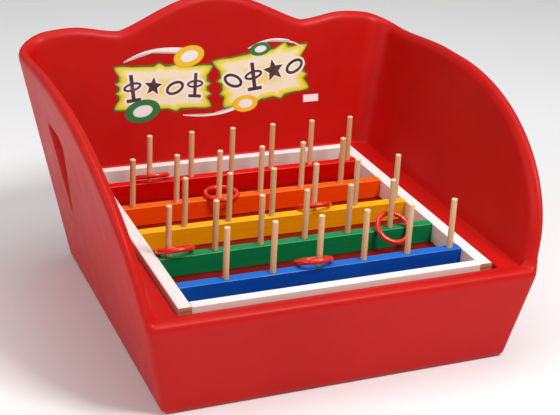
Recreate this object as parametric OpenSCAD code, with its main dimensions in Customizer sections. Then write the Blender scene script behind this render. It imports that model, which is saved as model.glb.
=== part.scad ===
// Ring toss set: moulded tub, lift-out peg rack with five coloured slats, six rings.
// Millimetres, +Z up, origin under the middle of the tub, front of the game at -Y.

/* [Tub] */
// half width of the footprint
base_half = 383; // [300:1:450]
// half depth of the footprint
base_deep = 379; // [300:1:450]
// outward lean of the side walls, mm per mm of height
side_draft = 0.208; // [0.05:0.01:0.35]
// outward lean of the front wall
front_draft = 0.155; // [0.05:0.005:0.35]
// outward lean of the back wall
back_draft = 0.19; // [0.05:0.01:0.35]
// front corner radius at the ground
front_r = 10; // [5:1:60]
// growth of the front corner radius per mm of height
front_round = 0.04; // [0:0.01:0.2]
// back corner radius at the ground
back_r = 25; // [10:1:60]
// growth of the back corner radius per mm of height
back_round = 0.11; // [0:0.01:0.2]
// thickness of the hollow side walls over both skins
side_wall = 28; // [24:1:60]
// thickness of the hollow front wall
front_wall = 36; // [24:1:60]
// thickness of the hollow back wall
back_wall = 30; // [24:1:60]
// moulded skin
skin = 5; // [3:0.5:8]
// height of the front rim
front_h = 215; // [180:1:260]
// height of the level part of the side rim
side_h = 522; // [400:1:600]
// level where the curve of the side rim would start if it ran on to the front
side_start = 210; // [200:1:300]
// place where the sweep up from the front rim meets that curve
sweep_end = -382; // [-395:1:-340]
// height of the side rim where it meets the back corner
corner_h = 506; // [400:1:600]
// place where the curved side rim becomes level
side_level_y = 79; // [-100:1:200]
// length of the curved part of the side rim
side_curve = 480; // [300:1:600]
// height of the two dips in the back rim
dip_h = 521; // [450:1:600]
// rise of the middle hump above the dips
hump = 75; // [0:1:150]
// half width of the hump
hump_half = 235; // [100:1:350]
// rise of the back shoulders above the dips
shoulder = 14; // [0:1:40]
// fall of the back rim from the shoulders to the corners
back_fall = 10; // [0:1:30]
// level of the ledge around the rack well
ledge_z = 207; // [180:1:240]
// level of the deck that carries the rack
deck_z = 173.6; // [150:0.2:220]
// clearance between rack and well
well_gap = 5; // [2:0.5:15]

/* [Hand pockets] */
// depth of each pocket
pocket_depth = 20; // [10:1:22]
// level of the two upper rounds of a pocket
pocket_top = 392; // [300:1:420]
// level of the lower round
pocket_low = 224; // [180:1:280]
// place of the upper front round along Y
pocket_front = 90; // [0:1:150]
// place of the upper back round
pocket_back = 174; // [120:1:260]
// place of the lower round
pocket_tip = 152; // [60:1:260]
// radius of the upper rounds
pocket_r = 20; // [8:1:30]
// radius of the lower round
tip_r = 9; // [5:1:20]

/* [Rack] */
// top of slats and rails
top_z = 218; // [200:1:260]
// height of slats and rails
slat_h = 44; // [30:1:60]
// slat thickness
slat_t = 24; // [16:1:40]
// slat length
slat_len = 632; // [500:1:700]
// side rail thickness
rail_t = 28; // [18:1:40]
// front and back rail thickness
end_t = 22; // [18:1:40]
// front face of the rack
rack_front = -356; // [-380:1:-300]
// back face of the rack
rack_back = 360; // [300:1:380]
// first row, measured from the middle
row_first = -264; // [-300:1:-200]
// distance between rows
row_pitch = 130; // [90:1:160]
// distance between pegs
peg_pitch = 101.6; // [80:0.1:130]
// sideways shift of alternate rows
stagger = 39; // [0:1:50]
// eased edge of the timber
ease = 1.2; // [0.5:0.1:3]
// sideways place of the loose rack in its well
rack_x = -4; // [-4:0.5:4]

/* [Pegs] */
// peg diameter
peg_d = 12.7; // [8:0.1:20]
// peg length showing above the slat
peg_out = 113; // [60:1:160]
// peg length in the slat
peg_in = 26; // [10:1:35]
// diameter of the part of a peg that sits in the slat
tenon_d = 12; // [6:0.1:19]
// diametral play in the hole
hole_play = 0.1; // [0:0.05:0.5]

/* [Screws] */
// screw head diameter
head_d = 8; // [6:0.5:12]
// screw shank diameter
shank_d = 4; // [3:0.5:6]
// screw length
screw_len = 40; // [35:1:70]

/* [Rings] */
// middle radius of a ring
ring_r = 36.5; // [25:0.5:45]
// section diameter of a ring
ring_d = 11; // [6:0.5:14]

/* [Graphics] */
// thickness of the printed film
film = 0.4; // [0.2:0.1:1]

/* [Hidden] */
pegs_per_row = 6;
flat = 0.4;
root = 0.5;
rack_len = rack_back - rack_front;
rack_half = slat_len/2 + rail_t;
well_x = rack_half + well_gap + abs(rack_x);
well_f = -rack_front + well_gap;
well_b = rack_back + well_gap;
well_r = 9;
roll_h = 19;
foot_r = 10;
cove = 4;
lip = 2.5;
steep_max = 3;
nf = 2;
nc = 7;
ns = 18;
nb = 15;
in_front = 9;
fall_from = 350;
fall_len = 120;
in_r = 28;
in_round = 0.05;

function slat_y(i) = row_first + i*row_pitch;
function shift(i) = (i % 2 == 0) ? stagger : -stagger;
function peg_x(i, k) = (k - (pegs_per_row - 1)/2)*peg_pitch + shift(i);
function smooth(t) = let (c = max(0, min(1, t))) c*c*(3 - 2*c);

// rim heights
function curve_rim(y) =
    let (u = max(-1, min(0, (y - side_level_y)/side_curve)))
    side_start + (side_h - side_start)*sqrt(1 - u*u)
      - (side_h - corner_h)*smooth((y - 150)/250);
sweep_u = (sweep_end - side_level_y)/side_curve;
sweep_slope = -(side_h - side_start)*sweep_u/(side_curve*sqrt(1 - sweep_u*sweep_u));
sweep_len = sweep_end + base_deep + front_draft*front_h;
// the front rim sweeps up into the side curve
function side_rim(y) = y >= sweep_end ? curve_rim(y) :
    let (t = max(0, 1 + (y - sweep_end)/sweep_len))
    front_h*(1 - t*t*(3 - 2*t)) + curve_rim(sweep_end)*t*t*(3 - 2*t)
      - sweep_slope*sweep_len*t*t*(1 - t);
function back_rim(x) =
    let (a = abs(x))
    a < hump_half ? dip_h + hump*pow(cos(90*a/hump_half), 1.24)
                  : dip_h + shoulder*smooth((a - hump_half)/110)
                      - back_fall*smooth((a - fall_from)/fall_len);

// outer size of the tub at height z: [half width, front, back, front radius, back radius]
function outer(z) = [base_half + side_draft*z, base_deep + front_draft*z,
    base_deep + back_draft*z, front_r + front_round*z, back_r + back_round*z];

// stations from the middle of the front round to the middle of the back, [kind, fraction]
half = concat([for (i = [0:nf]) [0, i/nf]], [for (i = [1:nc]) [1, i/nc]],
    [for (i = [1:ns]) [2, pow(i/ns, 1.7)]], [for (i = [1:nc]) [3, i/nc]],
    [for (i = [1:nb]) [4, i/nb]]);
last = len(half) - 1;

// place of a station on a rounded rectangle e
function spot(s, e) =
    s[0] == 0 ? [s[1]*(e[0] - e[3]), -e[1]] :
    s[0] == 1 ? [e[0] - e[3] + e[3]*sin(90*s[1]), -e[1] + e[3]*(1 - cos(90*s[1]))] :
    s[0] == 2 ? [e[0], -(e[1] - e[3]) + s[1]*(e[1] - e[3] + e[2] - e[4])] :
    s[0] == 3 ? [e[0] - e[4] + e[4]*cos(90*s[1]), e[2] - e[4] + e[4]*sin(90*s[1])] :
                [(e[0] - e[4])*(1 - s[1]), e[2]];

function wall(s) = s[0] == 0 ? front_wall : s[0] == 1 ? front_wall + (side_wall - front_wall)*s[1] :
    s[0] == 2 ? side_wall : s[0] == 3 ? side_wall + (back_wall - side_wall)*s[1] : back_wall;

function rim_at(s, z) = let (p = spot(s, outer(z)))
    s[0] == 0 ? front_h :
    s[0] <= 2 ? side_rim(p[1]) :
    s[0] == 3 ? corner_h + (back_rim(p[0]) - corner_h)*smooth(s[1]) : back_rim(p[0]);
function rim(s) = let (a = rim_at(s, 320), b = rim_at(s, a)) rim_at(s, b);
heights = [for (s = half) rim(s)];
crest = [for (i = [0:last]) let (p = spot(half[i], outer(heights[i]))) [p[0], p[1], heights[i]]];
slope = [for (i = [0:last]) let (a = crest[max(0, i - 1)], b = crest[min(last, i + 1)])
    min(steep_max, abs(b[2] - a[2])/max(1, norm([b[0] - a[0], b[1] - a[1]])))];
roll_out = [for (i = [0:last]) roll_h*sqrt(1 + slope[i]*slope[i])];
roll_in = [for (i = [0:last]) min(roll_out[i], heights[i] - ledge_z - cove - 1)];

// rounded rectangle set in by off from the outer wall at height z
function inset(i, off, z) = let (e = outer(z), w = wall(half[i]), q = off/w, r = in_r + in_round*z)
    [e[0] - off, e[1] - off, e[2] - off, e[3] + (in_front - e[3])*q, e[4] + (r - e[4])*q];
function on_wall(i, off, z) = concat(spot(half[i], inset(i, off, z)), [z]);
function on_well(i, grow, z) = let (r = max(1, well_r + grow))
    concat(spot(half[i], [well_x + grow, well_f + grow, well_b + grow, r, r]), [z]);

// mirror the half round into a full ring of points
function full(h) = concat(h, [for (i = [last - 1:-1:1]) [-h[i][0], h[i][1], h[i][2]]]);

function roll(i, a, s) = let (w = wall(half[i]), r = a <= 90 ? roll_out[i] : roll_in[i],
    z = heights[i] - r + (r - s)*sin(a))
    on_wall(i, s + (w/2 - s)*(1 - cos(a)), z);

outer_rings = concat(
    [full([for (i = [0:last]) on_wall(i, foot_r, 0)]),
     full([for (i = [0:last]) on_wall(i, foot_r*0.3, foot_r*0.3)]),
     full([for (i = [0:last]) on_wall(i, 0, foot_r)])],
    [for (q = [0.4, 0.75]) full([for (i = [0:last])
        on_wall(i, 0, foot_r + q*(heights[i] - roll_out[i] - foot_r))])],
    [for (a = [0:22.5:180]) full([for (i = [0:last]) roll(i, a, 0)])],
    [full([for (i = [0:last]) on_wall(i, wall(half[i]), ledge_z + cove)]),
     full([for (i = [0:last]) on_wall(i, wall(half[i]) + cove*0.3, ledge_z + cove*0.3)]),
     full([for (i = [0:last]) on_wall(i, wall(half[i]) + cove, ledge_z)]),
     full([for (i = [0:last]) on_well(i, lip, ledge_z)]),
     full([for (i = [0:last]) on_well(i, lip*0.3, ledge_z - lip*0.3)]),
     full([for (i = [0:last]) on_well(i, 0, ledge_z - lip)]),
     full([for (i = [0:last]) on_well(i, 0, deck_z + lip)]),
     full([for (i = [0:last]) on_well(i, -lip, deck_z)])]);

// middle of the tub from front to back: the origin sits under it
reach = [for (r = outer_rings) for (p = r) p[1]];
mid_y = (min(reach) + max(reach))/2;
module at_mid() translate([0, -mid_y, 0]) children();
module in_rack() translate([rack_x, -mid_y, 0]) children();

inner_rings = concat(
    [full([for (i = [0:last]) on_wall(i, skin + foot_r/2, skin)]),
     full([for (i = [0:last]) on_wall(i, skin, skin + foot_r/2)]),
     full([for (i = [0:last]) on_wall(i, skin, foot_r + 0.6*(heights[i] - roll_out[i] - foot_r))])],
    [for (a = [0:30:180]) full([for (i = [0:last]) roll(i, a, skin)])],
    [full([for (i = [0:last]) on_wall(i, wall(half[i]) - skin, ledge_z - skin)]),
     full([for (i = [0:last]) on_well(i, skin, ledge_z - skin)]),
     full([for (i = [0:last]) on_well(i, skin, deck_z - skin)])]);

// skin a stack of rings into a closed solid, each end closed by a fan about its middle
module loft(rings) {
    n = len(rings[0]);
    m = len(rings);
    pts = concat([for (r = rings) for (p = r) p],
        [[0, 0, rings[0][0][2]], [0, 0, rings[m - 1][0][2]]]);
    faces = [for (i = [0:n - 1]) let (k = (i + 1) % n) each concat(
        [[i, k, m*n], [(m - 1)*n + k, (m - 1)*n + i, m*n + 1]],
        [for (j = [0:m - 2]) each [[j*n + i, (j + 1)*n + i, j*n + k],
            [j*n + k, (j + 1)*n + i, (j + 1)*n + k]]])];
    polyhedron(points = pts, faces = faces, convexity = 10);
}

// outline of a hand pocket: X along the wall, Y up it, from the level of the lower round
module pocket_outline(grow) {
    rise = (pocket_top - pocket_low)*sqrt(1 + side_draft*side_draft);
    offset(r = grow, $fn = 48) hull() {
        translate([pocket_tip, 0]) circle(r = tip_r, $fn = 48);
        translate([pocket_front, rise]) circle(r = pocket_r, $fn = 72);
        translate([pocket_back, rise]) circle(r = pocket_r, $fn = 72);
    }
}

// pocket block on the right wall, reaching depth inwards
module pocket(grow, depth, proud) {
    translate([base_half + side_draft*pocket_low, 0, pocket_low])
        rotate([0, atan(side_draft), 0]) rotate([90, 0, 90])
            translate([0, 0, -depth]) linear_extrude(height = depth + proud)
                pocket_outline(grow);
}

module both_sides() {
    children();
    mirror([1, 0, 0]) children();
}

module tub_shell() color("firebrick") at_mid() difference() {
    union() {
        difference() {
            loft(outer_rings);
            loft(inner_rings);
        }
        intersection() {
            loft(outer_rings);
            both_sides() pocket(skin - 1, pocket_depth + skin - 1, 10);
        }
    }
    both_sides() pocket(0, pocket_depth, 20);
    translate([0, 0, -1]) cylinder(r = 6, h = skin + 2, $fn = 32);
}

// frame of the inner face of the back wall: local X right, local Y up the wall
module on_back(z) {
    lean = atan(back_draft);
    translate([0, base_deep + back_draft*z - back_wall, z])
        rotate([90 - lean, 0, 0]) translate([0, 0, 0.05]) children();
}

module burst(w, h, n, dip) {
    polygon([for (i = [0:2*n - 1]) let (a = 180*i/n, r = i % 2 == 0 ? 1 : dip,
        c = cos(a), s = sin(a), q = 1/pow(pow(abs(c), 6) + pow(abs(s), 6), 1/6))
        [w/2*r*q*c, h/2*r*q*s]]);
}

module hoop(x, y, w, h, t) {
    translate([x, y]) scale([1, h/w]) difference() {
        circle(d = w, $fn = 64);
        circle(d = w - 2*t, $fn = 64);
    }
}

// tapering curved stroke from a to b, passing near c
module swoosh(a, b, c, t) {
    n = 14;
    mid = [for (i = [0:n]) let (u = i/n) (1 - u)*(1 - u)*a + 2*u*(1 - u)*c + u*u*b];
    half_t = [for (i = [0:n]) 0.8 + t/2*sin(180*i/n)];
    polygon(concat([for (i = [0:n]) mid[i] + [0, half_t[i]]],
        [for (i = [n:-1:0]) mid[i] - [0, half_t[i]]]));
}

module back_decal() color("gold") at_mid() on_back(410) linear_extrude(height = film) union() {
    translate([-135, -25]) rotate(-4) burst(246, 122, 17, 0.86);
    translate([122, -14]) rotate(6) burst(250, 124, 17, 0.86);
    hoop(-67, 46, 81, 51, 15);
    hoop(-190, -78, 92, 55, 17);
    hoop(118, 54, 58, 34, 11);
    hoop(74, -81, 68, 42, 13);
    swoosh([-232, 38], [-72, 62], [-170, 84], 8);
    swoosh([86, 56], [240, 40], [172, 92], 8);
    swoosh([-90, -86], [60, -84], [-10, -128], 8);
}

module blank_label() color("white") at_mid() on_back(330)
    translate([251, 0, 0]) linear_extrude(height = film) square([42, 19], center = true);

// timber bar along X with eased edges
module bar(len, t, h) {
    rotate([90, 0, 90]) translate([0, 0, -len/2]) linear_extrude(height = len)
        polygon([[-t/2 + ease, -h], [t/2 - ease, -h], [t/2, -h + ease], [t/2, -ease],
            [t/2 - ease, 0], [-t/2 + ease, 0], [-t/2, -ease], [-t/2, -h + ease]]);
}

screw_rows = concat([rack_front + end_t/2], [for (i = [0:4]) slat_y(i)], [rack_back - end_t/2]);
screw_z = top_z - slat_h/2;

// screw pointing to -X with its head face at x = 0, countersunk
module screw(play) {
    rotate([0, -90, 0]) rotate_extrude($fn = 32)
        polygon([[0, 0], [head_d/2 + play, 0], [shank_d/2 + play, head_d/2 - shank_d/2 + 1],
            [shank_d/2 + play, screw_len - 6 + play], [0.6 + play, screw_len + play],
            [0, screw_len + play]]);
}

module screws_right(play) {
    for (y = screw_rows) translate([rack_half, y, screw_z]) screw(play);
}

module side_rail(dir) {
    difference() {
        translate([dir*(rack_half - rail_t/2), (rack_front + rack_back)/2, top_z])
            rotate(90) bar(rack_len, rail_t, slat_h);
        mirror([dir < 0 ? 1 : 0, 0, 0]) screws_right(0.1);
    }
}

module cross_bar(y, t) {
    difference() {
        translate([0, y, top_z]) bar(slat_len - 0.2, t, slat_h);
        both_sides() screws_right(0.1);
    }
}

module slat(i) {
    difference() {
        cross_bar(slat_y(i), slat_t);
        for (k = [0:pegs_per_row - 1])
            translate([peg_x(i, k), slat_y(i), top_z - peg_in])
                cylinder(d = tenon_d + hole_play, h = peg_in + 1, $fn = 48);
    }
}

// dowel with a reduced tenon, so that its free length starts just above the slat
module peg(i, k) color("burlywood") in_rack()
    translate([peg_x(i, k), slat_y(i), top_z - peg_in]) rotate_extrude($fn = 48)
        polygon([[0, 0], [tenon_d/2 - 1, 0], [tenon_d/2, 1], [tenon_d/2, peg_in + root],
            [peg_d/2, peg_in + 2*root], [peg_d/2, peg_in + peg_out - 1],
            [peg_d/2 - 1, peg_in + peg_out], [0, peg_in + peg_out]]);

// ring round peg k of row i, moved by dx, dy and lifted to z, tipped about X then Y
module ring(i, k, dx, dy, z, tip, roll_by) color("orangered") in_rack()
    translate([peg_x(i, k) + dx, slat_y(i) + dy, top_z + z])
        rotate([0, roll_by, 0]) rotate([tip, 0, 0])
            rotate_extrude($fn = 72) translate([ring_r, 0]) circle(d = ring_d, $fn = 32);

// rings hooked on a peg with the back edge dropped behind the slat
hook_tip = -24;
hook_y = 15;
hook_z = 5.2;

module side_rail_left() color("white") in_rack() side_rail(-1);
module side_rail_right() color("white") in_rack() side_rail(1);
module front_rail() color("white") in_rack() cross_bar(rack_front + end_t/2, end_t);
module back_rail() color("white") in_rack() cross_bar(rack_back - end_t/2, end_t);
module slat_blue() color("royalblue") in_rack() slat(0);
module slat_green() color("seagreen") in_rack() slat(1);
module slat_yellow() color("orange") in_rack() slat(2);
module slat_orange() color("orangered") in_rack() slat(3);
module slat_red() color("crimson") in_rack() slat(4);
module rail_screws_left() color("silver") in_rack() mirror([1, 0, 0]) screws_right(0);
module rail_screws_right() color("silver") in_rack() screws_right(0);
module peg_blue_1() peg(0, 0);
module peg_blue_2() peg(0, 1);
module peg_blue_3() peg(0, 2);
module peg_blue_4() peg(0, 3);
module peg_blue_5() peg(0, 4);
module peg_blue_6() peg(0, 5);
module peg_green_1() peg(1, 0);
module peg_green_2() peg(1, 1);
module peg_green_3() peg(1, 2);
module peg_green_4() peg(1, 3);
module peg_green_5() peg(1, 4);
module peg_green_6() peg(1, 5);
module peg_yellow_1() peg(2, 0);
module peg_yellow_2() peg(2, 1);
module peg_yellow_3() peg(2, 2);
module peg_yellow_4() peg(2, 3);
module peg_yellow_5() peg(2, 4);
module peg_yellow_6() peg(2, 5);
module peg_orange_1() peg(3, 0);
module peg_orange_2() peg(3, 1);
module peg_orange_3() peg(3, 2);
module peg_orange_4() peg(3, 3);
module peg_orange_5() peg(3, 4);
module peg_orange_6() peg(3, 5);
module peg_red_1() peg(4, 0);
module peg_red_2() peg(4, 1);
module peg_red_3() peg(4, 2);
module peg_red_4() peg(4, 3);
module peg_red_5() peg(4, 4);
module peg_red_6() peg(4, 5);
module ring_1() ring(4, 0, 10, hook_y - 0.5, hook_z + 0.2, hook_tip, 0);
module ring_2() ring(3, 2, 6.5, 2, ring_d/2 + flat, 0, 0);
module ring_3() ring(2, 3, 6, hook_y, hook_z, hook_tip, 0);
module ring_4() ring(1, 0, 18.2, 12.3, hook_z + 1.1, hook_tip, 0);
module ring_5() ring(1, 5, 0.5, -16.4, 5.8, 37, 3);
module ring_6() ring(0, 2, -5.6, hook_y, hook_z, hook_tip, 0);

tub_shell();
back_decal();
blank_label();
side_rail_left();
side_rail_right();
front_rail();
back_rail();
slat_blue();
slat_green();
slat_yellow();
slat_orange();
slat_red();
rail_screws_left();
rail_screws_right();
peg_blue_1();
peg_blue_2();
peg_blue_3();
peg_blue_4();
peg_blue_5();
peg_blue_6();
peg_green_1();
peg_green_2();
peg_green_3();
peg_green_4();
peg_green_5();
peg_green_6();
peg_yellow_1();
peg_yellow_2();
peg_yellow_3();
peg_yellow_4();
peg_yellow_5();
peg_yellow_6();
peg_orange_1();
peg_orange_2();
peg_orange_3();
peg_orange_4();
peg_orange_5();
peg_orange_6();
peg_red_1();
peg_red_2();
peg_red_3();
peg_red_4();
peg_red_5();
peg_red_6();
ring_1();
ring_2();
ring_3();
ring_4();
ring_5();
ring_6();
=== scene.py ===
import math
import bpy
import bmesh
from mathutils import Matrix, Vector


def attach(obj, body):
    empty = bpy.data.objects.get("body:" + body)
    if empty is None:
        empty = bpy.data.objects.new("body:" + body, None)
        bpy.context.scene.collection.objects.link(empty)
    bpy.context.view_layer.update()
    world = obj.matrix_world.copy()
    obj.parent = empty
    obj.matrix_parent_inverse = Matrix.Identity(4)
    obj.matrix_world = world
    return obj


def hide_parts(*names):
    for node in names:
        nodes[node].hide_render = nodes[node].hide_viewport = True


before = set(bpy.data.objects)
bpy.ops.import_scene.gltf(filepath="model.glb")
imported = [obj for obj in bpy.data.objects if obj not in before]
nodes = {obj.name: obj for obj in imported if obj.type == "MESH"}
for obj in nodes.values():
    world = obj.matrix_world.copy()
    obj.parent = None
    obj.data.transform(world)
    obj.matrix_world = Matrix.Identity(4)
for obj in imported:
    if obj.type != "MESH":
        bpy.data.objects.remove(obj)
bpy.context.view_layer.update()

MM = 0.001
scene = bpy.context.scene

# ---------------------------------------------------------------- camera
AZ, EL, ROLL = math.radians(-23.368), math.radians(23.823), math.radians(2.994)
back = Vector((math.sin(AZ) * math.cos(EL), -math.cos(AZ) * math.cos(EL), math.sin(EL)))
side = (-back).cross(Vector((0, 0, 1))).normalized()
upper = side.cross(-back)
right = math.cos(ROLL) * side + math.sin(ROLL) * upper
up = -math.sin(ROLL) * side + math.cos(ROLL) * upper
cam = bpy.data.objects.new("Camera", bpy.data.cameras.new("Camera"))
scene.collection.objects.link(cam)
cam.matrix_world = Matrix((
    (right.x, up.x, back.x, -1.0362),
    (right.y, up.y, back.y, -2.4491),
    (right.z, up.z, back.z, 1.3916),
    (0, 0, 0, 1)))
cam.data.lens = 83.0
cam.data.sensor_width = 36.0
cam.data.clip_end = 60
scene.camera = cam


# ---------------------------------------------------------------- node helper
class Mat:
    """A material with a short way to add and join nodes."""

    def __init__(self, name):
        self.m = bpy.data.materials.new(name)
        self.m.use_nodes = True
        self.t = self.m.node_tree
        self.b = self.t.nodes["Principled BSDF"]

    def add(self, kind, ins=None, **props):
        n = self.t.nodes.new("ShaderNode" + kind)
        for k, v in props.items():
            setattr(n, k, v)
        for k, v in (ins or {}).items():
            self.put(n.inputs[k], v)
        return n

    def put(self, socket, v):
        if isinstance(v, bpy.types.NodeSocket):
            self.t.links.new(v, socket)
        else:
            socket.default_value = v

    def set(self, **ins):
        for k, v in ins.items():
            self.put(self.b.inputs[k.replace("_", " ")], v)
        return self

    def place(self, scale=(1, 1, 1), at=(0, 0, 0)):
        c = self.add("TexCoord")
        return self.add("Mapping", {"Vector": c.outputs["Object"], "Scale": scale,
                                    "Location": at}).outputs[0]

    def noise(self, vec, scale, detail=3.0, rough=0.5, distort=0.0):
        return self.add("TexNoise", {"Vector": vec, "Scale": scale, "Detail": detail,
                                     "Roughness": rough, "Distortion": distort}).outputs[0]

    def ramp(self, fac, *stops):
        n = self.add("ValToRGB", {"Fac": fac})
        e = n.color_ramp.elements
        while len(e) < len(stops):
            e.new(0.5)
        for s, (p, c) in zip(e, stops):
            s.position = p
            s.color = (*c, 1) if len(c) == 3 else c
        return n.outputs[0]

    def grey(self, fac, *stops):
        return self.ramp(fac, *[(p, (v, v, v)) for p, v in stops])

    def mix(self, fac, a, b, kind="MIX"):
        n = self.add("Mix", data_type="RGBA", blend_type=kind)
        self.put(n.inputs[0], fac)
        self.put(n.inputs[6], (*a, 1) if isinstance(a, tuple) and len(a) == 3 else a)
        self.put(n.inputs[7], (*b, 1) if isinstance(b, tuple) and len(b) == 3 else b)
        return n.outputs[2]

    def math(self, op, a, b=0.0, clamp=False):
        n = self.add("Math", operation=op, use_clamp=clamp)
        self.put(n.inputs[0], a)
        self.put(n.inputs[1], b)
        return n.outputs[0]

    def bump(self, height, strength, dist=0.001, normal=None):
        n = self.add("Bump", {"Height": height, "Strength": strength, "Distance": dist})
        if normal is not None:
            self.put(n.inputs["Normal"], normal)
        return n.outputs[0]

    def axis(self, name):
        """One axis of the surface normal, 'X', 'Y' or 'Z'."""
        g = self.add("TexCoord")
        s = self.add("SeparateXYZ", {"Vector": g.outputs["Normal"]})
        return s.outputs[name]


def srgb(r, g, b):
    def f(v):
        v /= 255
        return v / 12.92 if v <= 0.04045 else ((v + 0.055) / 1.055) ** 2.4
    return (f(r), f(g), f(b))


# ---------------------------------------------------------------- materials
def chamfer(k, along):
    """Mask of the eased long edges of a bar that runs along X or Y."""
    side = k.math("ABSOLUTE", k.axis("Y" if along == "X" else "X"))
    up = k.math("ABSOLUTE", k.axis("Z"))
    return k.grey(k.math("MULTIPLY", side, up), (0.2, 0.0), (0.4, 1.0))


def tub_plastic():
    k = Mat("tub_plastic")
    p = k.place()
    big = k.noise(p, 2.6, 4, 0.55)
    blot = k.noise(p, 14, 5, 0.6)
    fine = k.noise(p, 420, 3, 0.6)
    body = k.ramp(big, (0.3, srgb(188, 12, 6)), (0.7, srgb(204, 18, 10)))
    body = k.mix(k.grey(blot, (0.45, 0.0), (0.85, 0.14)), body, srgb(210, 40, 26))
    # painted shade: the sunken well below the ledge is darkened towards maroon, and a speckle of dust
    # lies over it
    at = k.add("SeparateXYZ", {"Vector": p})
    wide = k.math("LESS_THAN", k.math("ABSOLUTE", at.outputs["X"]), WELL[0] * MM + 0.001)
    low = k.grey(at.outputs["Z"], (0.190, 1.0), ((LEDGE_Z + 0.5) * MM, 0.0))
    mid = (WELL[2] - WELL[1]) / 2 - MID_Y
    long = k.math("LESS_THAN", k.math("ABSOLUTE", k.math("SUBTRACT", at.outputs["Y"], mid * MM)),
                  (WELL[1] + WELL[2]) / 2 * MM + 0.001)
    deep = k.math("MULTIPLY", k.math("MULTIPLY", wide, long),
                  k.math("MULTIPLY", low, k.math("GREATER_THAN", at.outputs["Z"], 0.1)))
    # painted shade: the well floor and walls are darkened as if shadowed
    body = k.mix(k.math("MULTIPLY", deep, 0.72), body, srgb(96, 8, 14))
    dust = k.math("MULTIPLY", deep, k.grey(k.noise(p, 22, 6, 0.7), (0.5, 0.0), (0.75, 0.35)))
    body = k.mix(dust, body, srgb(128, 52, 46))
    # scuffs and a painted highlight lighten the outward curves of the rim and the corners
    edge = k.add("NewGeometry").outputs["Pointiness"]
    scuff_and_highlight = k.math("MULTIPLY", k.grey(edge, (0.51, 0.0), (0.54, 1.0)),
                  k.grey(k.noise(p, 60, 6, 0.7), (0.45, 0.0), (0.7, 1.0)))
    off_ledge = k.grey(at.outputs["Z"], (0.2, 1.0), (0.203, 0.0), (0.212, 0.0), (0.216, 1.0))
    scuff_and_highlight = k.math("MULTIPLY", scuff_and_highlight, off_ledge)
    # painted highlight and scuffs: lighter red along the convex rim
    body = k.mix(k.math("MULTIPLY", scuff_and_highlight, 0.3), body, srgb(226, 92, 74))
    scratch = k.noise(k.place((1.0, 5.0, 40.0)), 9, 8, 0.75, 0.6)
    lines = k.grey(scratch, (0.68, 0.0), (0.74, 1.0))
    body = k.mix(k.math("MULTIPLY", lines, 0.08), body, srgb(232, 110, 96))
    rough = k.math("ADD", k.grey(blot, (0.3, 0.42), (0.7, 0.52)), k.math("MULTIPLY", scuff_and_highlight, 0.12))
    n1 = k.bump(big, 0.25, 0.012)
    n2 = k.bump(fine, 0.12, 0.0006, n1)
    n3 = k.bump(lines, 0.06, 0.0004, n2)
    k.set(Base_Color=body, Roughness=rough, Normal=n3)
    k.b.inputs["Specular IOR Level"].default_value = 0.17
    k.b.inputs["Coat Weight"].default_value = 0.04
    k.b.inputs["Coat Roughness"].default_value = 0.25
    return k.m


def painted_wood(name, face, top, deep, raw=(206, 160, 110)):
    """Brushed paint over softwood whose grain runs along X; raw wood shows at worn edges."""
    k = Mat(name)
    grain = k.noise(k.place((0.9, 14.0, 14.0)), 9, 6, 0.62, 0.8)
    streak = k.noise(k.place((0.6, 30.0, 30.0), (0.3, 0.1, 0.7)), 14, 4, 0.6)
    blot = k.noise(k.place(), 7, 3, 0.5)
    col = k.mix(k.grey(grain, (0.42, 0.0), (0.8, 0.7)), srgb(*face), srgb(*deep))
    col = k.mix(k.grey(blot, (0.45, 0.0), (0.85, 0.3)), col, srgb(*top))
    # painted light: the top is lighter than the faces, as if lit from above
    col = k.mix(k.grey(k.axis("Z"), (0.5, 0.0), (0.9, 0.85)), col, srgb(*top))
    # small knots telegraph through the paint
    knots = k.add("TexVoronoi", {"Vector": k.place((1.0, 3.2, 1.6), (0.13, 0.4, 0.2)),
                                 "Scale": 7.0}).outputs["Distance"]
    knot = k.grey(knots, (0.03, 1.0), (0.085, 0.0))
    col = k.mix(k.math("MULTIPLY", knot, 0.4), col, tuple(c * 0.4 for c in srgb(*face)))
    rub = k.math("MULTIPLY", chamfer(k, "X"),
                 k.grey(k.noise(k.place((0.5, 1, 1)), 70, 5, 0.7), (0.5, 0.1), (0.72, 0.8)))
    col = k.mix(k.math("MULTIPLY", rub, 0.7), col, srgb(*raw))
    n = k.bump(grain, 0.3, 0.0006)
    n = k.bump(streak, 0.25, 0.0003, n)
    n = k.bump(knot, 0.2, 0.0005, n)
    k.set(Base_Color=col, Roughness=k.grey(streak, (0.3, 0.36), (0.7, 0.5)), Normal=n)
    k.b.inputs["Specular IOR Level"].default_value = 0.18
    return k.m


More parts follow.
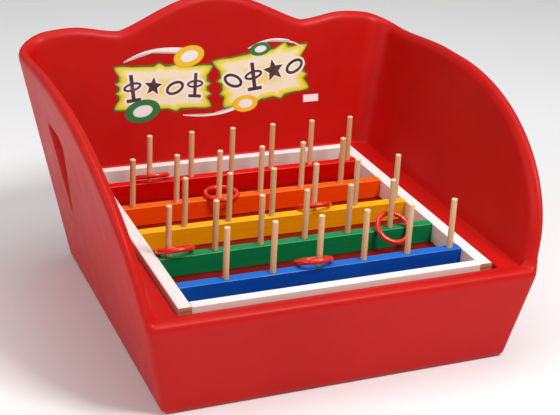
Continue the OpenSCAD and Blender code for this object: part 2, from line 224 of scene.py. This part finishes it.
def rail_paint(name, along):
    """White paint on softwood; cut ends show bare timber, and the side faces are tinted tan, darker than
    the white top.
    """
    k = Mat(name)
    lane = (14.0, 0.9, 14.0) if along == "Y" else (0.9, 14.0, 14.0)
    grain = k.noise(k.place(lane), 9, 6, 0.62, 0.8)
    streak = k.noise(k.place(tuple(v * 2.2 for v in lane), (0.2, 0.5, 0.1)), 10, 4, 0.6)
    white = k.mix(k.grey(grain, (0.4, 0.0), (0.85, 0.8)), srgb(250, 247, 244), srgb(234, 224, 214))
    # the side faces are tinted tan with streaks, darker than the top
    thin = k.grey(streak, (0.55, 0.0), (0.8, 0.3))
    side = k.math("SUBTRACT", 1.0, k.math("ABSOLUTE", k.axis("Z")), True)
    thin = k.math("MULTIPLY", k.math("ADD", thin, 0.22), side, True)
    white = k.mix(thin, white, srgb(226, 196, 156))
    # end grain
    rings = k.add("TexWave", {"Vector": k.place((1, 1, 1), (0.02, 0, 0.03)), "Scale": 48.0,
                              "Distortion": 3.0, "Detail": 2.0}, wave_type="RINGS").outputs["Fac"]
    raw = k.mix(rings, srgb(206, 160, 112), srgb(168, 118, 76))
    cut = k.grey(k.math("ABSOLUTE", k.axis(along)), (0.8, 0.0), (0.95, 1.0))
    col = k.mix(cut, white, raw)
    rub = k.math("MULTIPLY", chamfer(k, along),
                 k.grey(k.noise(k.place(), 80, 5, 0.7), (0.5, 0.0), (0.7, 0.8)))
    col = k.mix(k.math("MULTIPLY", rub, 0.7), col, srgb(206, 170, 126))
    n = k.bump(grain, 0.28, 0.0006)
    n = k.bump(streak, 0.25, 0.0003, n)
    k.set(Base_Color=col, Roughness=k.grey(streak, (0.3, 0.42), (0.7, 0.58)), Normal=n)
    return k.m


def birch():
    k = Mat("birch_dowel")
    tone = k.noise(k.place((1, 1, 0.05)), 9, 2, 0.5)
    grain = k.noise(k.place((260.0, 260.0, 7.0)), 1.0, 5, 0.65, 1.2)
    fleck = k.noise(k.place((700.0, 700.0, 60.0)), 1.0, 2, 0.5)
    col = k.ramp(tone, (0.32, srgb(226, 176, 120)), (0.5, srgb(238, 194, 142)),
                 (0.7, srgb(248, 214, 168)))
    col = k.mix(k.grey(grain, (0.45, 0.0), (0.8, 0.5)), col, srgb(196, 140, 88))
    col = k.mix(k.grey(fleck, (0.6, 0.0), (0.8, 0.2)), col, srgb(160, 106, 62))
    z = k.grey(k.axis("Z"), (0.6, 0.0), (0.95, 1.0))
    rings = k.noise(k.place((520.0, 520.0, 520.0)), 1.0, 3, 0.6)
    cut = k.mix(k.grey(rings, (0.4, 0.0), (0.7, 0.6)), srgb(252, 232, 192), srgb(222, 180, 130))
    col = k.mix(z, col, cut)
    n = k.bump(grain, 0.35, 0.0003)
    k.set(Base_Color=col, Roughness=k.grey(grain, (0.3, 0.45), (0.7, 0.6)), Normal=n)
    return k.m


def ring_plastic():
    k = Mat("ring_plastic")
    p = k.place()
    cloud = k.noise(p, 30, 3, 0.5)
    nick = k.grey(k.noise(p, 190, 6, 0.75), (0.62, 0.0), (0.7, 1.0))
    col = k.ramp(cloud, (0.3, srgb(226, 30, 14)), (0.7, srgb(246, 50, 26)))
    col = k.mix(k.math("MULTIPLY", nick, 0.3), col, srgb(255, 130, 100))
    n = k.bump(k.noise(p, 60, 3, 0.5), 0.12, 0.0012)
    n = k.bump(nick, 0.15, 0.0003, n)
    k.set(Base_Color=col, Roughness=k.grey(cloud, (0.3, 0.16), (0.7, 0.26)), Normal=n)
    k.b.inputs["Coat Weight"].default_value = 0.4
    k.b.inputs["Coat Roughness"].default_value = 0.08
    return k.m


def zinc():
    k = Mat("zinc_screw")
    p = k.place()
    blot = k.noise(p, 160, 4, 0.6)
    turn = k.noise(k.place((900.0, 40.0, 900.0)), 1.0, 3, 0.6)
    col = k.mix(k.grey(blot, (0.4, 0.0), (0.7, 1.0)), srgb(170, 170, 165), srgb(120, 116, 108))
    k.set(Base_Color=col, Metallic=1.0, Roughness=k.grey(turn, (0.3, 0.25), (0.7, 0.5)),
          Normal=k.bump(turn, 0.2, 0.0003))
    return k.m


def film(name):
    """Printed vinyl: the ink is a colour attribute, broken by fine print grain and fading."""
    k = Mat(name)
    ink = k.add("VertexColor", layer_name="ink").outputs["Color"]
    p = k.place()
    speck = k.noise(p, 900, 2, 0.5)
    ink = k.mix(k.grey(speck, (0.45, 0.0), (0.8, 0.12)), ink, srgb(255, 250, 240))
    fade = k.noise(p, 16, 4, 0.6)
    ink = k.mix(k.grey(fade, (0.5, 0.0), (0.9, 0.12)), ink, srgb(250, 240, 225))
    k.set(Base_Color=ink, Roughness=k.grey(fade, (0.3, 0.3), (0.7, 0.42)),
          Normal=k.bump(fade, 0.1, 0.0008))
    k.b.inputs["Coat Weight"].default_value = 0.15
    k.b.inputs["Coat Roughness"].default_value = 0.15
    return k.m


# ---------------------------------------------------------------- tub, millimetres as in part.scad
BASE_X, BASE_Y = 383.0, 379.0
SIDE_D, FRONT_D, BACK_D = 0.208, 0.155, 0.19
FRONT_R, FRONT_GROW, BACK_R, BACK_GROW = 10.0, 0.04, 25.0, 0.11
SIDE_W, FRONT_W, BACK_W = 28.0, 36.0, 30.0
FRONT_H, SIDE_H, START_H, CORNER_H = 215.0, 522.0, 210.0, 506.0
LEVEL_Y, CURVE, SWEEP_END = 79.0, 480.0, -382.0
DIP_H, HUMP, HUMP_HALF, SHOULDER = 521.0, 75.0, 235.0, 14.0
BACK_FALL, FALL_FROM, FALL_LEN = 10.0, 350.0, 120.0
LEDGE_Z, DECK_Z, WELL_R = 207.0, 173.6, 9.0
WELL = (353.0, 361.0, 365.0)
ROLL_H, FOOT_R, COVE, LIP, STEEP = 19.0, 10.0, 4.0, 2.5, 3.0
IN_FRONT, IN_R, IN_ROUND = 9.0, 28.0, 0.05
MID_Y = 39.743
POCKET_DEPTH, POCKET_LOW = 20.0, 224.0
POCKET_RISE = (392.0 - POCKET_LOW) * math.sqrt(1 + SIDE_D ** 2)
POCKET_ROUNDS = ((152.0, 0.0, 9.0), (90.0, POCKET_RISE, 20.0), (174.0, POCKET_RISE, 20.0))


def smooth(t):
    c = max(0.0, min(1.0, t))
    return c * c * (3 - 2 * c)


def curve_rim(y):
    u = max(-1.0, min(0.0, (y - LEVEL_Y) / CURVE))
    return (START_H + (SIDE_H - START_H) * math.sqrt(1 - u * u)
            - (SIDE_H - CORNER_H) * smooth((y - 150) / 250))


def side_rim(y):
    if y >= SWEEP_END:
        return curve_rim(y)
    u = (SWEEP_END - LEVEL_Y) / CURVE
    slope = -(SIDE_H - START_H) * u / (CURVE * math.sqrt(1 - u * u))
    length = SWEEP_END + BASE_Y + FRONT_D * FRONT_H
    t = max(0.0, 1 + (y - SWEEP_END) / length)
    return (FRONT_H * (1 - t * t * (3 - 2 * t)) + curve_rim(SWEEP_END) * t * t * (3 - 2 * t)
            - slope * length * t * t * (1 - t))


def back_rim(x):
    a = abs(x)
    if a < HUMP_HALF:
        return DIP_H + HUMP * max(0.0, math.cos(math.radians(90 * a / HUMP_HALF))) ** 1.24
    return (DIP_H + SHOULDER * smooth((a - HUMP_HALF) / 110)
            - BACK_FALL * smooth((a - FALL_FROM) / FALL_LEN))


def outer(z):
    return (BASE_X + SIDE_D * z, BASE_Y + FRONT_D * z, BASE_Y + BACK_D * z,
            FRONT_R + FRONT_GROW * z, BACK_R + BACK_GROW * z)


def spot(s, e):
    kind, t = s
    a = math.radians(90 * t)
    if kind == 0:
        return (t * (e[0] - e[3]), -e[1])
    if kind == 1:
        return (e[0] - e[3] + e[3] * math.sin(a), -e[1] + e[3] * (1 - math.cos(a)))
    if kind == 2:
        return (e[0], -(e[1] - e[3]) + t * (e[1] - e[3] + e[2] - e[4]))
    if kind == 3:
        return (e[0] - e[4] + e[4] * math.cos(a), e[2] - e[4] + e[4] * math.sin(a))
    return ((e[0] - e[4]) * (1 - t), e[2])


def wall(s):
    kind, t = s
    return (FRONT_W, FRONT_W + (SIDE_W - FRONT_W) * t, SIDE_W,
            SIDE_W + (BACK_W - SIDE_W) * t, BACK_W)[kind]


def rim_at(s, z):
    kind, t = s
    p = spot(s, outer(z))
    if kind == 0:
        return FRONT_H
    if kind <= 2:
        return side_rim(p[1])
    if kind == 3:
        return CORNER_H + (back_rim(p[0]) - CORNER_H) * smooth(t)
    return back_rim(p[0])


def spread(a, b, n):
    return [a + (b - a) * i / n for i in range(1, n + 1)]


SIDE_STEPS = ([0.30 * (i / 32) ** 1.8 for i in range(1, 33)] + spread(0.30, 0.57, 12)
              + spread(0.57, 0.79, 76) + spread(0.79, 1.0, 10))
STATIONS = ([(0, i / 12) for i in range(13)] + [(1, i / 12) for i in range(1, 13)]
            + [(2, t) for t in SIDE_STEPS] + [(3, i / 12) for i in range(1, 13)]
            + [(4, i / 56) for i in range(1, 57)])
LAST = len(STATIONS) - 1


def rim(s):
    return rim_at(s, rim_at(s, rim_at(s, 320)))


HEIGHTS = [rim(s) for s in STATIONS]
CREST = [(*spot(s, outer(h)), h) for s, h in zip(STATIONS, HEIGHTS)]


def slope_at(i):
    a, b = CREST[max(0, i - 1)], CREST[min(LAST, i + 1)]
    return min(STEEP, abs(b[2] - a[2]) / max(0.5, math.hypot(b[0] - a[0], b[1] - a[1])))


SLOPES = [slope_at(i) for i in range(LAST + 1)]
for _ in range(3):
    SLOPES = [(SLOPES[max(0, i - 1)] + SLOPES[i] + SLOPES[min(LAST, i + 1)]) / 3
              for i in range(LAST + 1)]
ROLL_OUT = [ROLL_H * math.sqrt(1 + s * s) for s in SLOPES]
ROLL_IN = [min(r, h - LEDGE_Z - COVE - 1) for r, h in zip(ROLL_OUT, HEIGHTS)]


def on_wall(i, off, z):
    e, w = outer(z), wall(STATIONS[i])
    q, r = off / w, IN_R + IN_ROUND * z
    return (*spot(STATIONS[i], (e[0] - off, e[1] - off, e[2] - off,
                                e[3] + (IN_FRONT - e[3]) * q, e[4] + (r - e[4]) * q)), z)


def on_well(i, grow, z):
    r = max(1.0, WELL_R + grow)
    return (*spot(STATIONS[i], (WELL[0] + grow, WELL[1] + grow, WELL[2] + grow, r, r)), z)


def roll(i, a):
    w = wall(STATIONS[i])
    r = ROLL_OUT[i] if a <= 90 else ROLL_IN[i]
    return on_wall(i, w / 2 * (1 - math.cos(math.radians(a))),
                   HEIGHTS[i] - r + r * math.sin(math.radians(a)))


def hull_edges(rounds):
    """Lines that bound the hull of some circles, as (normal, distance), for a convex outline."""
    edges = []
    for n in range(180):
        a = math.radians(2 * n)
        c, d = math.cos(a), math.sin(a)
        edges.append((c, d, max(x * c + y * d + r for x, y, r in rounds)))
    return edges


POCKET_EDGES = hull_edges(POCKET_ROUNDS)


def pocket_depth(y, z):
    """Depth of the hand pocket below the wall at that place."""
    v = (z - POCKET_LOW) * math.sqrt(1 + SIDE_D ** 2)
    d = min(k - (y * a + v * b) for a, b, k in POCKET_EDGES)
    return POCKET_DEPTH * smooth((d + 1.5) / 8.0)


def build_tub():
    rows = [lambda i: on_wall(i, FOOT_R, 0.0),
            lambda i: on_wall(i, FOOT_R * 0.6, FOOT_R * 0.08),
            lambda i: on_wall(i, FOOT_R * 0.29, FOOT_R * 0.29),
            lambda i: on_wall(i, FOOT_R * 0.08, FOOT_R * 0.6),
            lambda i: on_wall(i, 0.0, FOOT_R)]
    for q in spread(0, 0.36, 10) + spread(0.36, 0.84, 76) + spread(0.84, 0.999, 6):
        rows.append(lambda i, q=q: on_wall(i, 0.0, FOOT_R + q * (HEIGHTS[i] - ROLL_OUT[i] - FOOT_R)))
    for n in range(17):
        rows.append(lambda i, a=n * 180 / 16: roll(i, a))
    for q in spread(0, 1, 20):
        rows.append(lambda i, q=q: on_wall(
            i, wall(STATIONS[i]),
            (HEIGHTS[i] - ROLL_IN[i]) * (1 - q) + (LEDGE_Z + COVE) * q))
    for c, s in ((0.08, 0.6), (0.29, 0.29), (0.6, 0.08), (1.0, 0.0)):
        rows.append(lambda i, c=c, s=s: on_wall(i, wall(STATIONS[i]) + COVE * c, LEDGE_Z + COVE * s))
    for g, d in ((LIP, 0.0), (LIP * 0.6, LIP * 0.1), (LIP * 0.3, LIP * 0.3), (0, LIP)):
        rows.append(lambda i, g=g, d=d: on_well(i, g, LEDGE_Z - d))
    for g, d in ((0, LIP), (-LIP * 0.3, LIP * 0.3), (-LIP, 0.0)):
        rows.append(lambda i, g=g, d=d: on_well(i, g, DECK_Z + d))
    bm = bmesh.new()
    grid = []
    drop = Vector((1, 0, -SIDE_D)).normalized()
    for j, row in enumerate(rows):
        line = []
        for i in list(range(LAST + 1)) + list(range(LAST - 1, 0, -1)):
            x, y, z = row(i)
            flip = -1 if len(line) > LAST else 1
            if 14 < j < 93 and STATIONS[i][0] == 2 and 60 < y < 210:
                d = pocket_depth(y, z)
                x, z = x - d * drop.x, z - d * drop.z
            line.append(bm.verts.new((flip * x * MM, (y - MID_Y) * MM, z * MM)))
        grid.append(line)
    n = len(grid[0])
    for a, b in zip(grid, grid[1:]):
        for i in range(n):
            k = (i + 1) % n
            bm.faces.new((a[i], a[k], b[k], b[i]))
    for line, turn in ((grid[0], 1), (grid[-1], -1)):
        mid = bm.verts.new((0, -MID_Y * MM, line[0].co.z))
        for i in range(n):
            k = (i + 1) % n
            bm.faces.new((line[k], line[i], mid) if turn > 0 else (line[i], line[k], mid))
    for f in bm.faces:
        f.smooth = True
    bmesh.ops.recalc_face_normals(bm, faces=bm.faces)
    me = bpy.data.meshes.new("tub_body")
    bm.to_mesh(me)
    bm.free()
    ob = bpy.data.objects.new("tub_body", me)
    scene.collection.objects.link(ob)
    me.materials.append(tub_plastic())
    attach(ob, "tub")
    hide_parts("tub_shell")
    return ob


build_tub()


# ---------------------------------------------------------------- inks on the back wall
GREEN, LIME, YELLOW = srgb(38, 104, 30), srgb(150, 176, 10), srgb(246, 226, 30)
CREAM, WHITE, AMBER = srgb(255, 246, 214), srgb(255, 252, 246), srgb(240, 164, 8)
GOLD, MAROON = srgb(252, 206, 20), srgb(66, 16, 18)
LEAF, MINT, GREY = srgb(20, 122, 58), srgb(200, 226, 206), srgb(196, 186, 184)


class Print:
    """Flat inks stacked on the back wall, every ink a closed plate a few hundredths high."""

    def __init__(self, name, node, level, slot, material):
        self.name, self.node, self.slot, self.material = name, node, slot, material
        self.level, self.lean = level, math.atan(BACK_D)
        self.points, self.faces, self.ink = [], [], []

    def at(self, x, y, lift):
        """Local X right, local Y up the wall, lift off the wall, all in millimetres."""
        c, d = math.cos(self.lean), math.sin(self.lean)
        return (x * MM, (BASE_Y + BACK_D * self.level - BACK_W + y * d - lift * c - MID_Y) * MM,
                (self.level + y * c + lift * d) * MM)

    def loop(self, outline, lift, colour):
        first = len(self.points)
        for x, y in outline:
            self.points.append(self.at(x, y, lift))
            self.ink.append((*colour, 1.0))
        return list(range(first, len(self.points)))

    def join(self, a, b):
        n = len(a)
        for i in range(n):
            self.faces.append((a[i], a[(i + 1) % n], b[(i + 1) % n], b[i]))

    def plate(self, outline, top, stops, foot=0.07):
        """Solid plate with a star-shaped outline; stops are (scale, colour), from edge to middle."""
        cx = sum(p[0] for p in outline) / len(outline)
        cy = sum(p[1] for p in outline) / len(outline)
        base = self.loop(outline, foot, stops[0][1])
        self.faces.append(tuple(reversed(base)))
        rings = [base] + [self.loop([(cx + (x - cx) * f, cy + (y - cy) * f) for x, y in outline],
                                    top, colour) for f, colour in stops]
        for a, b in zip(rings, rings[1:]):
            self.join(a, b)
        mid = self.loop([(cx, cy)], top, stops[-1][1])[0]
        last = rings[-1]
        for i in range(len(last)):
            self.faces.append((last[i], last[(i + 1) % len(last)], mid))

    def band(self, out, inn, top, a, b, foot=0.07):
        """Plate between two outlines, coloured a outside and b inside."""
        o0, o1 = self.loop(out, foot, a), self.loop(out, top, a)
        i1, i0 = self.loop(inn, top, b), self.loop(inn, foot, b)
        for p, q in ((o0, o1), (o1, i1), (i1, i0), (i0, o0)):
            self.join(p, q)

    def build(self):
        me = bpy.data.meshes.new(self.name)
        me.from_pydata(self.points, [], self.faces)
        layer = me.color_attributes.new("ink", "FLOAT_COLOR", "POINT")
        for i, c in enumerate(self.ink):
            layer.data[i].color = c
        bm = bmesh.new()
        bm.from_mesh(me)
        bmesh.ops.recalc_face_normals(bm, faces=bm.faces)
        bm.to_mesh(me)
        bm.free()
        me.materials.append(self.material)
        ob = bpy.data.objects.new(self.name, me)
        scene.collection.objects.link(ob)
        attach(ob, "tub")
        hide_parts(self.node)
        return ob


def turn(points, angle, cx, cy):
    c, d = math.cos(math.radians(angle)), math.sin(math.radians(angle))
    return [(cx + x * c - y * d, cy + x * d + y * c) for x, y in points]


def oval(cx, cy, w, h, angle=0.0, n=72):
    return turn([(w / 2 * math.cos(2 * math.pi * i / n), h / 2 * math.sin(2 * math.pi * i / n))
                 for i in range(n)], angle, cx, cy)


def plaque(cx, cy, w, h, angle, spikes, grow=0.0):
    """Jagged plaque: a rounded rectangle with hollow sides and short spikes."""
    pts = []
    n = 240
    for i in range(n):
        a = 2 * math.pi * i / n
        c, d = math.cos(a), math.sin(a)
        q = 1 / (abs(c) ** 7 + abs(d) ** 7) ** (1 / 7)
        t = i / n
        jag = -0.05
        for place, reach, wide in spikes:
            off = abs((t - place + 0.5) % 1.0 - 0.5) / wide
            jag = max(jag, reach * (1 - off) - 0.05 * min(1.0, off))
        f = q * (0.93 + jag)
        pts.append(((w / 2 * f + grow) * c, (h / 2 * f + grow) * d))
    return turn(pts, angle, cx, cy)


def star(cx, cy, r, angle=0.0, grow=0.0):
    pts = []
    for i in range(10):
        q = (r if i % 2 == 0 else r * 0.45) + grow
        a = math.pi / 2 + i * math.pi / 5
        pts.append((q * math.cos(a), q * math.sin(a)))
    return turn(pts, angle, cx, cy)


def bar_mark(cx, cy, w, h, angle=0.0, grow=0.0):
    a, b = w / 2 + grow, h / 2 + grow
    return turn([(a, b - 1), (a - 1, b), (1 - a, b), (-a, b - 1), (-a, 1 - b), (1 - a, -b),
                 (a - 1, -b), (a, 1 - b)], angle, cx, cy)


def swoosh(a, b, c, wide, thin):
    """Comet tail from a to b bending past c; wide at its end b."""
    up, low = [], []
    for i in range(25):
        t = i / 24
        x = (1 - t) ** 2 * a[0] + 2 * t * (1 - t) * c[0] + t * t * b[0]
        y = (1 - t) ** 2 * a[1] + 2 * t * (1 - t) * c[1] + t * t * b[1]
        h = thin + (wide - thin) * t ** 1.5
        up.append((x, y + h / 2))
        low.append((x, y - h / 2))
    return up + low[::-1]


def draw_marks(k, kind, x, y, s, angle):
    """One pictogram with its white halo: 'peg', 'hoop' or 'star'."""
    for grow, top, ink in ((5.0, 0.25, WHITE), (0.0, 0.31, MAROON)):
        if kind == "star":
            k.plate(star(x, y, 27 * s, angle, grow), top, ((1.0, ink), (0.4, ink)))
            continue
        if kind == "hoop":
            k.band(oval(x, y, 54 * s + 2 * grow, 34 * s + 2 * grow, angle),
                   oval(x, y, 38 * s - 2 * grow, 19 * s - 2 * grow, angle), top, ink, ink)
            continue
        a = math.radians(angle)
        k.plate(bar_mark(x, y, 9 * s, 60 * s, angle, grow), top, ((1.0, ink), (0.4, ink)))
        k.plate(bar_mark(x + 29 * s * math.sin(a), y - 29 * s * math.cos(a), 34 * s, 8 * s, angle, grow),
                top + 0.01, ((1.0, ink), (0.4, ink)))
        k.band(oval(x, y + 2 * s, 44 * s + 2 * grow, 20 * s + 2 * grow, angle + 8),
               oval(x, y + 2 * s, 32 * s - 2 * grow, max(2.0, 9 * s - 2 * grow), angle + 8),
               top + 0.02, ink, ink)


def decal():
    k = Print("back_print", "back_decal", 410.0, "decal_film", film("decal_film"))
    ink = ((1.0, LIME), (0.93, YELLOW), (0.84, srgb(252, 240, 96)), (0.74, CREAM), (0.5, CREAM),
           (0.25, srgb(255, 232, 120)))
    first = ((0.02, 0.03, 0.02), (0.115, 0.11, 0.035), (0.21, 0.02, 0.02), (0.265, 0.09, 0.02),
             (0.385, 0.10, 0.035), (0.47, 0.03, 0.02), (0.535, 0.02, 0.02), (0.615, 0.10, 0.035),
             (0.70, 0.03, 0.02), (0.79, 0.07, 0.02), (0.885, 0.09, 0.035), (0.95, 0.04, 0.02))
    second = ((0.015, 0.03, 0.02), (0.105, 0.15, 0.03), (0.17, 0.13, 0.02), (0.27, 0.03, 0.02),
              (0.385, 0.12, 0.035), (0.48, 0.04, 0.02), (0.56, 0.02, 0.02), (0.625, 0.07, 0.035),
              (0.71, 0.05, 0.02), (0.80, 0.08, 0.02), (0.885, 0.08, 0.035), (0.95, 0.03, 0.02))
    for cx, cy, w, h, angle, spikes in ((-134, -25, 250, 116, -3.0, first),
                                        (122, -14, 246, 132, 7.0, second)):
        k.plate(plaque(cx, cy, w, h, angle, spikes, 4.0), 0.13, ((1.0, GREEN), (0.9, GREEN)))
        k.plate(plaque(cx, cy, w, h, angle, spikes), 0.19, ink)
    for kind, x, y, s, angle in (("peg", -212, -20, 1.05, 4), ("star", -160, -20, 0.86, -8),
                                 ("hoop", -106, -28, 0.9, 22), ("peg", -54, -24, 0.95, -6),
                                 ("hoop", 44, -22, 0.95, -24), ("peg", 98, -14, 1.1, 5),
                                 ("star", 152, -4, 1.05, 10), ("hoop", 208, 2, 0.95, 30)):
        draw_marks(k, kind, x, y, s, angle)
    for a, b, c, wide, thin in (((-230, 42), (-78, 60), (-172, 78), 14, 2),
                                ((86, 54), (196, 66), (140, 84), 6, 2),
                                ((-88, -96), (58, -86), (-8, -112), 9, 2),
                                ((236, 44), (180, 68), (214, 64), 4, 2)):
        k.plate(swoosh(a, b, c, wide, thin), 0.23, ((1.0, WHITE),))
    for cx, cy, w, h, angle, rim, edge, core in (
            (-67, 46, 80, 50, 14, GOLD, AMBER, WHITE), (-190, -78, 90, 54, 10, LEAF, GREEN, MINT),
            (118, 51, 57, 32, 8, LEAF, GREEN, MINT), (74, -81, 67, 41, 4, GOLD, AMBER, WHITE)):
        k.plate(oval(cx, cy, w, h, angle), 0.37, ((1.0, edge), (0.9, rim), (0.62, rim)))
        k.plate(oval(cx + 1, cy, w * 0.56, h * 0.52, angle), 0.42, ((1.0, core), (0.8, WHITE)))
    k.build()
    k = Print("blank_plate", "blank_label", 330.0, "label_film", film("label_film"))
    k.plate(bar_mark(251, 0, 41.4, 18.4), 0.3, ((1.0, WHITE), (0.8, WHITE)))
    k.band(bar_mark(251, 0, 38.0, 15.0), bar_mark(251, 0, 37.0, 14.0), 0.38, GREY, GREY)
    k.build()


decal()


# ---------------------------------------------------------------- materials on the CAD nodes
def dress(name, material):
    o = nodes[name]
    o.data.materials.clear()
    o.data.materials.append(material)


WOODS = {
    "blue": painted_wood("blue_paint", (0, 80, 186), (0, 120, 222), (0, 60, 152)),
    "green": painted_wood("green_paint", (0, 134, 74), (0, 150, 86), (0, 106, 56)),
    "yellow": painted_wood("yellow_paint", (255, 170, 0), (255, 192, 4), (246, 148, 0)),
    "orange": painted_wood("orange_paint", (255, 78, 0), (255, 106, 0), (250, 62, 0)),
    "red": painted_wood("red_paint", (216, 4, 0), (230, 10, 2), (186, 0, 0)),
}
for colour, m in WOODS.items():
    dress("slat_" + colour, m)
rail_y, rail_x = rail_paint("rail_paint_side", "Y"), rail_paint("rail_paint_end", "X")
for n in ("side_rail_left", "side_rail_right"):
    dress(n, rail_y)
for n in ("front_rail", "back_rail"):
    dress(n, rail_x)
peg_wood = birch()
for n in nodes:
    if n.startswith("peg_"):
        dress(n, peg_wood)
ring_m = ring_plastic()
for n in nodes:
    if n.startswith("ring_"):
        dress(n, ring_m)
screw_m = zinc()
for n in ("rail_screws_left", "rail_screws_right"):
    dress(n, screw_m)


# ---------------------------------------------------------------- floor and light
def floor():
    me = bpy.data.meshes.new("floor")
    half, drop = 9, 0.001
    me.from_pydata([(-half, -half, -drop), (half, -half, -drop), (half, half, -drop),
                    (-half, half, -drop)], [], [(0, 1, 2, 3)])
    ob = bpy.data.objects.new("floor", me)
    scene.collection.objects.link(ob)
    k = Mat("floor")
    k.set(Base_Color=(0.93, 0.93, 0.93, 1), Roughness=0.85)
    me.materials.append(k.m)


def area(name, at, aim, size, watts, colour=(1, 1, 1)):
    d = bpy.data.lights.new(name, "AREA")
    d.shape, d.size, d.size_y, d.energy, d.color = "RECTANGLE", size[0], size[1], watts, colour
    o = bpy.data.objects.new(name, d)
    scene.collection.objects.link(o)
    o.location = at
    o.rotation_euler = (Vector(aim) - Vector(at)).to_track_quat("-Z", "Y").to_euler()


floor()
area("key", (1.5, -2.3, 4.3), (0, 0.2, 0.3), (1.3, 1.3), 155)
area("left", (-3.4, -0.2, 2.2), (-0.3, 0, 0.3), (2.2, 1.4), 38)
area("front", (-1.6, -3.4, 1.9), (0, 0.2, 0.3), (1.4, 1.0), 7)
area("top", (0.3, 0.5, 4.4), (0, 0, 0), (2.6, 2.6), 50)
world = bpy.data.worlds.new("studio")
world.use_nodes = True
world.node_tree.nodes["Background"].inputs[0].default_value = (1, 1, 1, 1)
world.node_tree.nodes["Background"].inputs[1].default_value = 0.27
scene.world = world
scene.view_settings.view_transform = "Standard"
